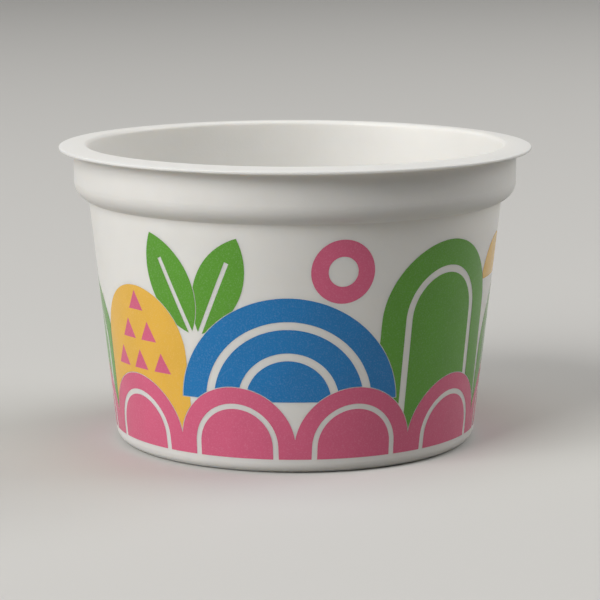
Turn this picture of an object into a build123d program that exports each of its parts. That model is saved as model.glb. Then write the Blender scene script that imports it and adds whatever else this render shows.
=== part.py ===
from build123d import *
import math
import os

# Plastic ice cream tub: one moulded shell, straight inside and stepped out at its collar, with a printed wall.
# Millimetres. +Z is up, the tub stands on Z = 0 and its axis is the Z axis. A turn of 0 faces -Y.

# Shell: the rim's diameter, and how far each step below it is drawn in on the radius
rim_diameter = 95.0
rim_overhang = 2.95
shoulder_step = 2.9
wall_taper = 5.35
height = 60.0
wall = 1.0

# Rim, a flange that rises to its crown and rounds over into the mouth
rim_edge = 0.6
rim_edge_round_share = 0.37
rim_fall = 0.4
rim_crown_round = 0.8
rim_root_round = 0.5

# Collar under the rim, and the shoulder that draws it in to the wall
collar_drop = 10.0
shoulder_height = 3.7
crease_round = 0.3

# Base: a foot ring round a raised panel, with the moulding gate's mark in a shallow well at its middle
heel_round = 2.2
foot_width = 4.8
foot_run = 2.0
base_rise = 1.5
foot_round = 0.8
gate_well_diameter = 7.0
gate_well_depth = 0.3
gate_diameter = 1.4
gate_length = 0.2

# Print: films of ink on the straight wall, with a bare line between one motif and the next
ink = 0.06
print_margin = 0.95
print_gap = 0.15
design_repeats = 2

# Motifs. Turns are shares of a full turn, levels of the print's height and widths of the wall's girth.
scallop_count = 10
scallop_base_share = 0.055
scallop_lap_share = 1.012
scallop_band_share = 0.28
scallop_line_share = 0.09

fan_turn_share = -2 / 360
fan_base_share = 0.25
fan_width_share = 0.167
fan_rise_share = 0.447
fan_band_share = 0.225
fan_line_share = 0.075

dome_turn_share = -51.5 / 360
dome_top_share = 0.7
dome_width_share = 0.102
triangle_side_share = 0.25
triangle_pitch_share = 0.35
triangle_row_shares = (0.14, 0.47, 0.8)
triangle_row_counts = (3, 2, 1)

tall_arch_turn_share = 47 / 360
tall_arch_top_share = 0.905
tall_arch_width_share = 0.1225
low_arch_turn_share = -88 / 360
low_arch_top_share = 0.66
low_arch_width_share = 0.108
arch_band_share = 0.34
arch_line_share = 0.095

ring_turn_share = 13 / 360
ring_level_share = 0.806
ring_width_share = 0.0506
ring_hole_share = 0.47

leaf_turn_share = -29 / 360
leaf_spread_share = 15 / 360
leaf_tilt = 24.0
leaf_level_share = 0.734
leaf_length_share = 0.459
leaf_width_share = 0.457
leaf_rib_width_share = 0.043
leaf_rib_length_share = 0.75

sun_turn_share = 79 / 360
sun_base_share = 0.69
sun_width_share = 0.069

# Worked out from the sizes above
rim_radius = rim_diameter / 2
collar_radius = rim_radius - rim_overhang
crease_radius = collar_radius - shoulder_step
base_radius = crease_radius - wall_taper
rim_top_edge = height - rim_fall
rim_underside = rim_top_edge - rim_edge
rim_edge_round = rim_edge * rim_edge_round_share
crease_height = rim_underside - collar_drop
shoulder_top = crease_height + shoulder_height
wall_lean = math.atan(wall_taper / crease_height)
gate_well_top = base_rise + gate_well_depth
gate_end = gate_well_top - gate_length
wall_run = wall / math.cos(wall_lean)
heel_top = heel_round * (1 - math.sin(wall_lean))
print_bottom = heel_top + print_margin
print_top = crease_height - crease_round
print_height = print_top - print_bottom
girth = math.pi * (base_radius + crease_radius)


def wall_radius(level):
    """Outer radius of the straight wall at a level above the table."""
    return base_radius + wall_taper * level / crease_height


def print_level(share):
    """Level above the table at a share of the print's height."""
    return print_bottom + print_height * share


def make_tub():
    """The shell, revolved from its section."""
    foot_inner = base_radius - foot_width
    panel_radius = foot_inner - foot_run
    floor_shift = wall * math.tan(math.atan(base_rise / foot_run) / 2)
    gate = ((0, gate_end), (gate_diameter / 2, gate_end), (gate_diameter / 2, gate_well_top))
    gate_well = ((gate_well_diameter / 2, gate_well_top), (gate_well_diameter / 2, base_rise))
    panel = (panel_radius, base_rise)
    foot = (foot_inner, 0)
    heel = (base_radius, 0)
    crease = (crease_radius, crease_height)
    collar_end = (collar_radius, shoulder_top)
    root = (collar_radius, rim_underside)
    edge_bottom = (rim_radius, rim_underside)
    edge_top = (rim_radius, rim_top_edge)
    lip = (wall_radius(height) - wall_run, height)
    crown = (wall_radius(height) - wall_run + rim_crown_round, height)
    inner_heel = (wall_radius(wall) - wall_run, wall)
    inner_foot = (foot_inner + floor_shift, wall)
    inner_panel = (panel_radius + floor_shift, base_rise + wall)
    floor_centre = (0, base_rise + wall)
    rounds = (
        (panel, foot_round),
        (foot, foot_round),
        (heel, heel_round),
        (crease, crease_round),
        (root, rim_root_round),
        (edge_bottom, rim_edge_round),
        (edge_top, rim_edge_round),
        (lip, rim_crown_round),
        (inner_heel, heel_round - wall),
        (inner_foot, foot_round),
        (inner_panel, foot_round),
    )
    with BuildSketch(Plane.XZ) as section:
        with BuildLine():
            Polyline(*gate, *gate_well, panel, foot, heel, crease)
            TangentArc(collar_end, crease, tangent=(0, -1))
            Polyline(collar_end, root, edge_bottom, edge_top)
            TangentArc(crown, edge_top, tangent=(1, 0))
            Polyline(crown, lip, inner_heel, inner_foot, inner_panel, floor_centre, gate[0])
        make_face()
        for corner, radius in rounds:
            fillet(section.vertices().sort_by_distance(corner)[0], radius)
    return revolve(section.sketch, axis=Axis.Z)


def make_film():
    """A film of ink all round the straight wall."""
    lift_out = ink * math.cos(wall_lean)
    lift_down = ink * math.sin(wall_lean)
    low_radius = wall_radius(print_bottom)
    high_radius = wall_radius(print_top)
    with BuildSketch(Plane.XZ) as section:
        with BuildLine():
            Polyline(
                (low_radius, print_bottom),
                (high_radius, print_top),
                (high_radius + lift_out, print_top - lift_down),
                (low_radius + lift_out, print_bottom - lift_down),
                close=True,
            )
        make_face()
    return revolve(section.sketch, axis=Axis.Z)


def through_wall(turn, outline):
    """Carry a flat outline, drawn upright and facing out at a turn, from the axis through the wall."""
    angle = 2 * math.pi * turn
    across = (math.cos(angle), math.sin(angle), 0)
    outward = (math.sin(angle), -math.cos(angle), 0)
    facing = Plane(origin=(0, 0, 0), x_dir=across, z_dir=outward)
    return extrude(facing * outline, amount=rim_radius)


def half_disc(radius, base):
    """A half disc with its flat side down."""
    upper_half = Rectangle(2 * radius, radius, align=(Align.CENTER, Align.MIN))
    return Pos(0, base) * (Circle(radius) & upper_half)


def round_topped(width, top):
    """A panel with a half-round top, standing on the table line."""
    spring = top - width / 2
    panel = Rectangle(width, spring, align=(Align.CENTER, Align.MIN))
    return panel + Pos(0, spring) * Circle(width / 2)


def lined_panel(width, top, band, line):
    """A round-topped panel with a bare line inside its edge: its outline, and what is inked."""
    outline = round_topped(width, top)
    inside = round_topped(width - 2 * band, top - band)
    core_inset = band + line
    core = round_topped(width - 2 * core_inset, top - core_inset)
    return outline, outline - inside + core


def scallop_radius():
    """Radius at which the scallops just lap one another round the wall."""
    girth_radius = wall_radius(print_level(scallop_base_share))
    return girth_radius * math.sin(math.pi / scallop_count) * scallop_lap_share


def skirt_top():
    """Level of the scallops' tops."""
    return print_level(scallop_base_share) + scallop_radius()


def scallop():
    radius = scallop_radius()
    band = radius * scallop_band_share
    line = radius * scallop_line_share
    outline, inked = lined_panel(2 * radius, skirt_top(), band, line)
    return outline, {"pink": inked}


def fan():
    base = print_level(fan_base_share)
    radius = min(girth * fan_width_share / 2, print_height * fan_rise_share)
    band = radius * fan_band_share
    step = band + radius * fan_line_share
    bands = half_disc(radius - 2 * step, base)
    for inset in (0, step):
        bands += half_disc(radius - inset, base) - half_disc(radius - inset - band, base)
    return half_disc(radius, base), {"blue": bands}


def dome():
    """A dome with rows of triangles on the part of it that shows above the skirt."""
    top = print_level(dome_top_share)
    shown = top - skirt_top()
    outline = round_topped(girth * dome_width_share, top)
    triangle = RegularPolygon(shown * triangle_side_share / math.sqrt(3), 3, rotation=90)
    triangles = Sketch()
    for row_share, count in zip(triangle_row_shares, triangle_row_counts):
        for place in range(count):
            across = (place - (count - 1) / 2) * shown * triangle_pitch_share
            triangles += Pos(across, skirt_top() + shown * row_share) * triangle
    return outline, {"pink": triangles, "yellow": outline - triangles}


def arch(width_share, top_share):
    width = girth * width_share
    band = width / 2 * arch_band_share
    line = width / 2 * arch_line_share
    outline, inked = lined_panel(width, print_level(top_share), band, line)
    return outline, {"green": inked}


def ring():
    radius = girth * ring_width_share / 2
    centre = Pos(0, print_level(ring_level_share))
    outline = centre * Circle(radius)
    return outline, {"pink": outline - centre * Circle(radius * ring_hole_share)}


def leaf(tilt):
    """A pointed leaf, the overlap of two discs, with a bare rib up from its lower point."""
    length = print_height * leaf_length_share
    width = length * leaf_width_share
    edge_radius = (length**2 + width**2) / (4 * width)
    shift = edge_radius - width / 2
    blade = Pos(shift, 0) * Circle(edge_radius) & Pos(-shift, 0) * Circle(edge_radius)
    rib_size = (length * leaf_rib_width_share, length * leaf_rib_length_share)
    rib = Pos(0, -length / 2) * Rectangle(*rib_size, align=(Align.CENTER, Align.MIN))
    place = Pos(0, print_level(leaf_level_share)) * Rot(0, 0, tilt)
    return place * blade, {"green": place * (blade - rib)}


def sun():
    outline = half_disc(girth * sun_width_share / 2, print_level(sun_base_share))
    return outline, {"yellow": outline}


def make_print():
    """The printed fields by colour. A motif covers those that come after it."""
    motifs = (
        (1 / scallop_count / 2, scallop(), scallop_count),
        (fan_turn_share, fan(), design_repeats),
        (dome_turn_share, dome(), design_repeats),
        (tall_arch_turn_share, arch(tall_arch_width_share, tall_arch_top_share), design_repeats),
        (low_arch_turn_share, arch(low_arch_width_share, low_arch_top_share), design_repeats),
        (ring_turn_share, ring(), design_repeats),
        (leaf_turn_share - leaf_spread_share / 2, leaf(leaf_tilt), design_repeats),
        (leaf_turn_share + leaf_spread_share / 2, leaf(-leaf_tilt), design_repeats),
        (sun_turn_share, sun(), design_repeats),
    )
    film = make_film()
    fields = {"pink": [], "blue": [], "yellow": [], "green": []}
    covers = []
    for turn, (outline, inks), copies in motifs:
        grown = offset(outline, amount=print_gap)
        reach = math.asin(grown.bounding_box().size.X / 2 / base_radius) / (2 * math.pi)
        nearby = [
            cover for place, span, cover in covers
            if abs((place - turn + 0.5) % 1 - 0.5) < span + reach
        ]
        copy_turns = [copy / copies for copy in range(copies)]
        for colour, inked in inks.items():
            piece = film & through_wall(turn, inked)
            piece = piece - nearby if nearby else piece
            for copy_turn in copy_turns:
                fields[colour] += [Rot(0, 0, 360 * copy_turn) * solid for solid in piece.solids()]
        cover = through_wall(turn, grown)
        for copy_turn in copy_turns:
            covers.append((turn + copy_turn, reach, Rot(0, 0, 360 * copy_turn) * cover))
    return fields


os.makedirs("parts", exist_ok=True)
export_step(make_tub(), "parts/tub.step")
for colour, solids in make_print().items():
    joined = solids[0].fuse(*solids[1:])
    export_step(Compound(children=joined.solids()), f"parts/print_{colour}.step")
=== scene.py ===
import math

import bmesh
import bpy
from mathutils import Euler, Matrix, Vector, geometry


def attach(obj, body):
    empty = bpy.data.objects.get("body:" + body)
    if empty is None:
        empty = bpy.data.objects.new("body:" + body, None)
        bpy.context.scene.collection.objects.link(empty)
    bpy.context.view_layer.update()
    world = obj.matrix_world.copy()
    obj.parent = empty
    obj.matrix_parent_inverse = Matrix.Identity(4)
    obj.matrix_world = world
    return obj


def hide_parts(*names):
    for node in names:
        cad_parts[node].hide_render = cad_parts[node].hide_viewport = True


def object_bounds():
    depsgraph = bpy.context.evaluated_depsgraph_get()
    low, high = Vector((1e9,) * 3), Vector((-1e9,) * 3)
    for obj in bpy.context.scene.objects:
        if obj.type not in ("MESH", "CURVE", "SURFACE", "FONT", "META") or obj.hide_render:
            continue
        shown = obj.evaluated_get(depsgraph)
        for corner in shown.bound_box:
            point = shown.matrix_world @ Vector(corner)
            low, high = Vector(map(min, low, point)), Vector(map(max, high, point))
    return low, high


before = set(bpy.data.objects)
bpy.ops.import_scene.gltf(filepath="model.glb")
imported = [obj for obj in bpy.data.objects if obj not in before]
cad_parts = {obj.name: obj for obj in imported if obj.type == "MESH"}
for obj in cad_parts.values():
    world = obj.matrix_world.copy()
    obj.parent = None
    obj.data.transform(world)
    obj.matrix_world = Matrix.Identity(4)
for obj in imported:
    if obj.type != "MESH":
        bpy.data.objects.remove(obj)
cad_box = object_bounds()

# Plastic ice cream tub, seen from the photograph's viewing angle. Metres.
# The tub's axis is the Z axis, and the side towards the camera faces -Y.

# Camera, its lens and sensor in millimetres
camera_distance = 0.5028
camera_height = 0.1148
camera_near = 0.005
camera_lens = 150.07
camera_sensor = 36.0
camera_pitch = math.radians(9.84)
camera_yaw = math.radians(0.1136)

# Lamps: degrees round from the camera's side towards +X, degrees up, size and power in watts
lamps = {
    "key_lamp": (-46, 36, 1.4, 41.0),
    "side_lamp": (-76, 12, 1.2, 15.5),
    "right_lamp": (105, 34, 1.6, 27.0),
    "top_lamp": (0, 87, 1.4, 14.5),
}
lamp_distance = 2.4
lamp_colour = (1.0, 0.993, 0.98)

# Faint light from all round, and the backdrop that is seen in its place. Colours are linear.
world_colour = (0.93, 0.96, 1.0)
world_strength = 0.045
backdrop_colour = (0.60, 0.59, 0.565)

# Floor: the colour that is seen, and the darker one that throws light back on the tub
floor_size = 30.0
floor_colour = (0.62, 0.61, 0.59)
floor_bounce_colour = (0.29, 0.285, 0.275)
floor_roughness = 0.75

# Plastic: the two tones of its mottle, its lowest and highest roughness, the share of light
# that enters it, how far that light goes, and the share of that depth for red, green and blue
plastic_colour = (0.81, 0.80, 0.772)
plastic_shade = (0.80, 0.79, 0.761)
plastic_roughness = (0.34, 0.46)
plastic_glow = 0.6
plastic_depth = 0.002
plastic_depth_ratio = (1.0, 0.92, 0.8)

# Inks: the darker tone of their mottle is a share of the colour; their flecks are painted glints, a little
# paler
ink_colours = {
    "green": (0.115, 0.36, 0.03),
    "pink": (0.75, 0.13, 0.25),
    "blue": (0.01, 0.20, 0.52),
    "yellow": (0.90, 0.52, 0.07),
}
ink_shade_share = 0.95
ink_roughness = (0.17, 0.25)
ink_specular = 0.35
ink_painted_glint_tint = 0.05

# Surface detail: the size of its features, its layers of noise, and the band of noise that is used
mottle_size = 0.006
mottle_layers = 3
mottle_band = (0.35, 0.65)
gloss_band = (0.3, 0.7)
grain_size = 0.00045
grain_layers = 2
grain_depth = 0.00002
# Flecks of painted glint on the inks: highlights off the grain, painted into their colour
painted_glint_size = 0.00028
painted_glint_layers = 1
painted_glint_band = (0.5, 0.72)

# The straight wall under the print
wall_foot_radius = 0.0363
wall_crease_radius = 0.04165
wall_crease_level = 0.049

# Print films: the height of the solids, and the height shown, because real ink is thinner;
# the size of the faces, how near points count as one, and the angle that stays sharp
film_height = 0.00006
film_shown_height = 0.000012
film_step = 0.0012
film_weld = 0.0000001
film_sharp_angle = math.radians(40)

# The kind of result that delaunay_2d_cdt gives: triangles within the edges that it is given
triangles_within_edges = 1


def opaque(colour):
    """A colour as nodes take it, with nothing showing through."""
    return (*colour, 1)


def make_material(name):
    """A material whose surface is one Principled shader, and that shader."""
    material = bpy.data.materials.new(name)
    material.use_nodes = True
    tree = material.node_tree
    tree.nodes.clear()
    shader = tree.nodes.new("ShaderNodeBsdfPrincipled")
    output = tree.nodes.new("ShaderNodeOutputMaterial")
    tree.links.new(shader.outputs["BSDF"], output.inputs["Surface"])
    return material, shader


def noise(tree, size, layers):
    """Noise whose features have a size, in the part's own coordinates."""
    place = tree.nodes.new("ShaderNodeTexCoord")
    texture = tree.nodes.new("ShaderNodeTexNoise")
    texture.inputs["Scale"].default_value = 1 / size
    texture.inputs["Detail"].default_value = layers
    tree.links.new(place.outputs["Object"], texture.inputs["Vector"])
    return texture.outputs["Fac"]


def between(tree, factor, band, low, high):
    """A number that goes from low to high as noise crosses a band."""
    span = tree.nodes.new("ShaderNodeMapRange")
    span.inputs["From Min"].default_value = band[0]
    span.inputs["From Max"].default_value = band[1]
    span.inputs["To Min"].default_value = low
    span.inputs["To Max"].default_value = high
    tree.links.new(factor, span.inputs["Value"])
    return span.outputs["Result"]


def mixed(tree, factor, band, first, second):
    """A colour that goes from one to another as noise crosses a band."""
    ramp = tree.nodes.new("ShaderNodeValToRGB")
    for stop, position, colour in zip(ramp.color_ramp.elements, band, (first, second)):
        stop.position = position
        stop.color = opaque(colour)
    tree.links.new(factor, ramp.inputs["Fac"])
    return ramp.outputs["Color"]


def add_grain(tree, shader):
    """Moulded grain as bump."""
    bump = tree.nodes.new("ShaderNodeBump")
    bump.inputs["Distance"].default_value = grain_depth
    tree.links.new(noise(tree, grain_size, grain_layers), bump.inputs["Height"])
    tree.links.new(bump.outputs["Normal"], shader.inputs["Normal"])


def make_satin(name, colour, shade, roughness):
    """A satin material with mottled colour, uneven gloss and a fine grain, and its shader."""
    material, shader = make_material(name)
    tree = material.node_tree
    mottle = noise(tree, mottle_size, mottle_layers)
    tree.links.new(mixed(tree, mottle, mottle_band, shade, colour), shader.inputs["Base Color"])
    tree.links.new(between(tree, mottle, gloss_band, *roughness), shader.inputs["Roughness"])
    add_grain(tree, shader)
    return material, shader


def make_plastic():
    """White plastic: light enters it and leaves it again nearby, also through the wall."""
    material, shader = make_satin("satin_plastic", plastic_colour, plastic_shade, plastic_roughness)
    shader.inputs["Subsurface Weight"].default_value = plastic_glow
    shader.inputs["Subsurface Radius"].default_value = plastic_depth_ratio
    shader.inputs["Subsurface Scale"].default_value = plastic_depth
    return material


def add_painted_glints(tree, shader, colour):
    """Fine pale flecks of painted glint: highlights off the grain, painted into the ink's colour."""
    base = shader.inputs["Base Color"]
    painted_glints = noise(tree, painted_glint_size, painted_glint_layers)
    mix = tree.nodes.new("ShaderNodeMixRGB")
    # The flecks' colour is a painted glint, a little paler than the ink
    mix.inputs["Color2"].default_value = opaque(tone + (1 - tone) * ink_painted_glint_tint for tone in colour)
    tree.links.new(between(tree, painted_glints, painted_glint_band, 0, 1), mix.inputs["Fac"])
    tree.links.new(base.links[0].from_socket, mix.inputs["Color1"])
    tree.links.new(mix.outputs["Color"], base)


def make_ink(name, colour):
    """Ink of one colour, smoother than the plastic."""
    shade = [tone * ink_shade_share for tone in colour]
    material, shader = make_satin(f"ink_{name}", colour, shade, ink_roughness)
    # Pale flecks of painted glint over the ink's colour
    add_painted_glints(material.node_tree, shader, colour)
    shader.inputs["Specular IOR Level"].default_value = ink_specular
    return material


def seen_directly(tree):
    """A factor that is 1 for rays from the camera and for reflections, and 0 for scattered light."""
    path = tree.nodes.new("ShaderNodeLightPath")
    factor = path.outputs["Is Camera Ray"]
    for other in ("Is Glossy Ray", "Is Transmission Ray"):
        either = tree.nodes.new("ShaderNodeMath")
        either.operation = "MAXIMUM"
        tree.links.new(factor, either.inputs[0])
        tree.links.new(path.outputs[other], either.inputs[1])
        factor = either.outputs["Value"]
    return factor


def scattered_or_seen(tree, scattered, seen):
    """One shader for scattered light, and another for what the camera and reflections see."""
    mix = tree.nodes.new("ShaderNodeMixShader")
    tree.links.new(seen_directly(tree), mix.inputs["Fac"])
    tree.links.new(scattered, mix.inputs[1])
    tree.links.new(seen, mix.inputs[2])
    return mix.outputs["Shader"]


def make_paper():
    """Pale paper that throws back less light on the tub's undersides than it shows."""
    material, paper = make_material("floor_paper")
    tree = material.node_tree
    surface = paper.outputs["BSDF"].links[0].to_socket
    paper.inputs["Base Color"].default_value = opaque(floor_colour)
    paper.inputs["Roughness"].default_value = floor_roughness
    bounce = tree.nodes.new("ShaderNodeBsdfDiffuse")
    bounce.inputs["Color"].default_value = opaque(floor_bounce_colour)
    tree.links.new(scattered_or_seen(tree, bounce.outputs["BSDF"], paper.outputs["BSDF"]), surface)
    return material


def make_floor():
    """A plain square floor under the tub."""
    mesh = bpy.data.meshes.new("floor")
    half = floor_size / 2
    corners = [(-half, -half, 0), (half, -half, 0), (half, half, 0), (-half, half, 0)]
    mesh.from_pydata(corners, [], [(0, 1, 2, 3)])
    mesh.materials.append(make_paper())
    floor = bpy.data.objects.new("floor", mesh)
    bpy.context.scene.collection.objects.link(floor)


def make_lamp(name, azimuth, elevation, size, power):
    """A square soft light that faces the middle of the tub."""
    aim = (cad_box[0] + cad_box[1]) / 2
    turn, rise = math.radians(azimuth), math.radians(elevation)
    outward = Vector((math.sin(turn) * math.cos(rise), -math.cos(turn) * math.cos(rise), math.sin(rise)))
    data = bpy.data.lights.new(name, "AREA")
    data.size = size
    data.energy = power
    data.color = lamp_colour
    lamp = bpy.data.objects.new(name, data)
    lamp.location = aim + outward * lamp_distance
    lamp.rotation_mode = "QUATERNION"
    lamp.rotation_quaternion = outward.to_track_quat("Z", "Y")
    bpy.context.scene.collection.objects.link(lamp)


def make_world():
    """Faint even light; the camera and reflections see the backdrop's colour instead."""
    world = bpy.data.worlds.new("studio")
    world.use_nodes = True
    tree = world.node_tree
    tree.nodes.clear()
    light = tree.nodes.new("ShaderNodeBackground")
    light.inputs["Color"].default_value = opaque(world_colour)
    light.inputs["Strength"].default_value = world_strength
    backdrop = tree.nodes.new("ShaderNodeBackground")
    backdrop.inputs["Color"].default_value = opaque(backdrop_colour)
    output = tree.nodes.new("ShaderNodeOutputWorld")
    both = scattered_or_seen(tree, light.outputs["Background"], backdrop.outputs["Background"])
    tree.links.new(both, output.inputs["Surface"])
    bpy.context.scene.world = world


def make_camera():
    """A camera in front of the tub that looks down on it, as the photograph does."""
    data = bpy.data.cameras.new("camera")
    data.lens = camera_lens
    data.sensor_width = camera_sensor
    data.clip_start = camera_near
    camera = bpy.data.objects.new("camera", data)
    camera.location = (0, -camera_distance, camera_height)
    camera.rotation_euler = Euler((math.pi / 2 - camera_pitch, 0, -camera_yaw))
    bpy.context.scene.collection.objects.link(camera)
    bpy.context.scene.camera = camera


def wall_radius(level):
    """Outer radius of the straight wall at a level above the floor."""
    return wall_foot_radius + (wall_crease_radius - wall_foot_radius) * level / wall_crease_level


def is_outer(face):
    """Whether a face of a solid film is on its outside."""
    return all(v.co.xy.length - wall_radius(v.co.z) > film_height / 2 for v in face.verts)


def fields(node):
    """The rim of each separate field of a print: the edges round its outer face, as pairs of places."""
    shape = bmesh.new()
    shape.from_mesh(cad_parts[node].data)
    bmesh.ops.remove_doubles(shape, verts=shape.verts, dist=film_weld)
    waiting = {face: None for face in shape.faces if is_outer(face)}
    outer = set(waiting)
    while waiting:
        reached, rim = [waiting.popitem()[0]], []
        while reached:
            face = reached.pop()
            for edge in face.edges:
                beyond = [other for other in edge.link_faces if other in outer and other is not face]
                if not beyond:
                    rim.append([vertex.co.copy() for vertex in edge.verts])
                for other in beyond:
                    if other in waiting:
                        del waiting[other]
                        reached.append(other)
        yield rim
    shape.free()


def lay_flat(place):
    """The wall laid flat, seen from above: levels become rings, and small shapes only change size."""
    return place.xy.normalized() * wall_crease_radius * math.exp(place.z / wall_crease_radius)


def on_wall(point, lift):
    """The place of a flat point, lifted off the wall."""
    level = wall_crease_radius * math.log(point.length / wall_crease_radius)
    return (*point.normalized() * (wall_radius(level) + lift), level)


def outline(rim):
    """A rim laid flat, in steps: its corners, and the pairs of them that are neighbours."""
    corners, pairs = {}, []
    for start, end in rim:
        count = math.ceil((end - start).length / film_step)
        steps = [lay_flat(start.lerp(end, step / count)).freeze() for step in range(count + 1)]
        numbers = [corners.setdefault(step, len(corners)) for step in steps]
        pairs += zip(numbers, numbers[1:])
    return list(corners), pairs


def is_inside(point, corners, pairs):
    """Whether a flat point is in an outline: a line to its right crosses it an odd number of times."""
    crossings = 0
    for first, second in pairs:
        start, end = corners[first], corners[second]
        if (start.y > point.y) != (end.y > point.y):
            share = (point.y - start.y) / (end.y - start.y)
            crossings += start.x + (end.x - start.x) * share > point.x
    return crossings % 2 == 1


def is_clear(point, corners):
    """Whether a flat point is more than half a step from each corner."""
    gap = film_step / 2 * point.length / wall_crease_radius
    return all((point - corner).length > gap for corner in corners)


def inner_points(corners, pairs):
    """Evenly spread flat points within an outline, clear of its corners."""
    columns = round(math.tau * wall_crease_radius / film_step)
    row_step = film_step * math.sqrt(3) / 2
    left, right = min(c.x for c in corners), max(c.x for c in corners)
    front, back = min(c.y for c in corners), max(c.y for c in corners)
    points = []
    for row in range(round(wall_crease_level / row_step)):
        for column in range(columns):
            turn = (column + row % 2 / 2) * math.tau / columns
            point = lay_flat(Vector((math.cos(turn), math.sin(turn), row * row_step)))
            in_box = left < point.x < right and front < point.y < back
            if in_box and is_inside(point, corners, pairs) and is_clear(point, corners):
                points.append(point)
    return points


def fill(corners, pairs):
    """Even triangles within a flat outline: their points, and the numbers of each triangle's points."""
    points, _, triangles, *_ = geometry.delaunay_2d_cdt(
        corners + inner_points(corners, pairs), pairs, [], triangles_within_edges, film_weld
    )
    middles = [(points[a] + points[b] + points[c]) / 3 for a, b, c in triangles]
    return points, [t for t, middle in zip(triangles, middles) if is_inside(middle, corners, pairs)]


def wrap(points, triangles):
    """A closed film on the wall from flat triangles: its places, and the numbers of each face's places."""
    places = [on_wall(point, lift) for lift in (0, film_shown_height) for point in points]
    over = len(points)
    faces = []
    for a, b, c in triangles:
        faces.append((over + c, over + b, over + a))
        faces.append((a, b, c))
    sides = [side for a, b, c in triangles for side in ((a, b), (b, c), (c, a))]
    known = set(sides)
    rim = [(start, end) for start, end in sides if (end, start) not in known]
    faces += [(over + start, over + end, end, start) for start, end in rim]
    return places, faces


def make_film(colour):
    """The print of one colour, filled anew: its solid has long faces that dip under the round wall."""
    node = f"print_{colour}"
    places, faces = [], []
    for rim in fields(node):
        first = len(places)
        field_places, field_faces = wrap(*fill(*outline(rim)))
        places += field_places
        faces += [[first + number for number in face] for face in field_faces]
    mesh = bpy.data.meshes.new(f"film_{colour}")
    mesh.from_pydata(places, [], faces)
    mesh.shade_smooth()
    mesh.set_sharp_from_angle(angle=film_sharp_angle)
    film = bpy.data.objects.new(f"film_{colour}", mesh)
    bpy.context.scene.collection.objects.link(film)
    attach(film, "root")
    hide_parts(node)
    return film


def dress(node, material):
    """Give a CAD node its finish."""
    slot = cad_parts[node].material_slots[0]
    slot.link = "OBJECT"
    slot.material = material


bpy.context.scene.view_settings.view_transform = "Standard"
dress("tub", make_plastic())
for ink_name, ink_colour in ink_colours.items():
    make_film(ink_name).data.materials.append(make_ink(ink_name, ink_colour))
make_floor()
for lamp_name, lamp_values in lamps.items():
    make_lamp(lamp_name, *lamp_values)
make_world()
make_camera()
